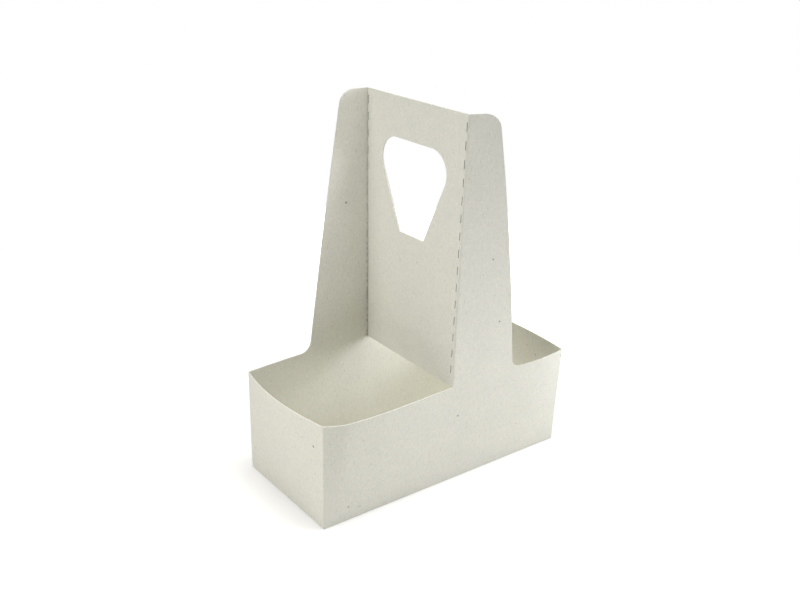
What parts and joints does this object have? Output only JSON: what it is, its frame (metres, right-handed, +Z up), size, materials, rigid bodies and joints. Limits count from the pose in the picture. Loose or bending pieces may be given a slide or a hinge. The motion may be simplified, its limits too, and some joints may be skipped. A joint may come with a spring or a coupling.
{
  "type": "cup carrier",
  "caption": "Folded board carrier: a low open tray with a glued upright card across its middle, a hand hole in the card and tapering tabs on its sides.",
  "frame": {"origin": "middle of the underside, at the middle of the tray's underside rectangle", "axes": "+X along the tray to the end with the front tab, +Y across the tray to the back, +Z up"},
  "size_m": [0.2088, 0.112, 0.2528],
  "materials": {
    "board": "matte grey recycled board with a faint sheen and fine specks"
  },
  "bodies": {
    "root": {"folded_carrier": "board"}
  },
  "joints": []
}
